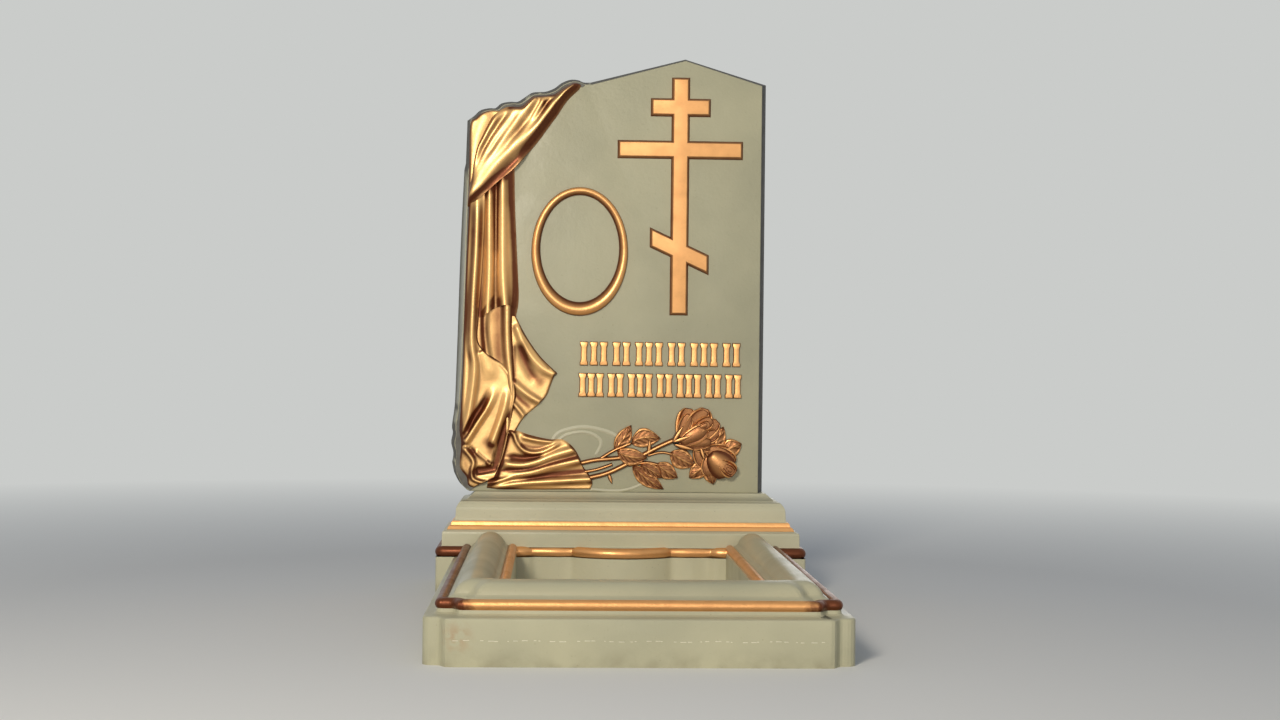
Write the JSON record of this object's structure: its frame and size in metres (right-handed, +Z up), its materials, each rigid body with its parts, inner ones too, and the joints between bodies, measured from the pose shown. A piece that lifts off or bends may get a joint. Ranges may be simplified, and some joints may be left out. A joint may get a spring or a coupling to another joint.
{
  "type": "grave monument with relief stele, plinth and flower bed",
  "caption": "Cast concrete grave monument: pitched stele with draped cloth, cross, roses and an oval frame in relief, on a moulded plinth behind a U-shaped flower bed.",
  "frame": {"origin": "centre of the whole base on the ground", "axes": "+X to the right when facing the relief, the relief and the flower bed face -Y, +Z up"},
  "size_m": [0.83, 1.28, 1.2294],
  "materials": {
    "enamelled_concrete": "glossy pale grey enamel over cast concrete",
    "copper_paint": "metallic copper paint on the cast relief and mouldings"
  },
  "bodies": {
    "root": {"stele": "enamelled_concrete", "plinth": "enamelled_concrete", "flower_bed": "enamelled_concrete"}
  },
  "joints": []
}
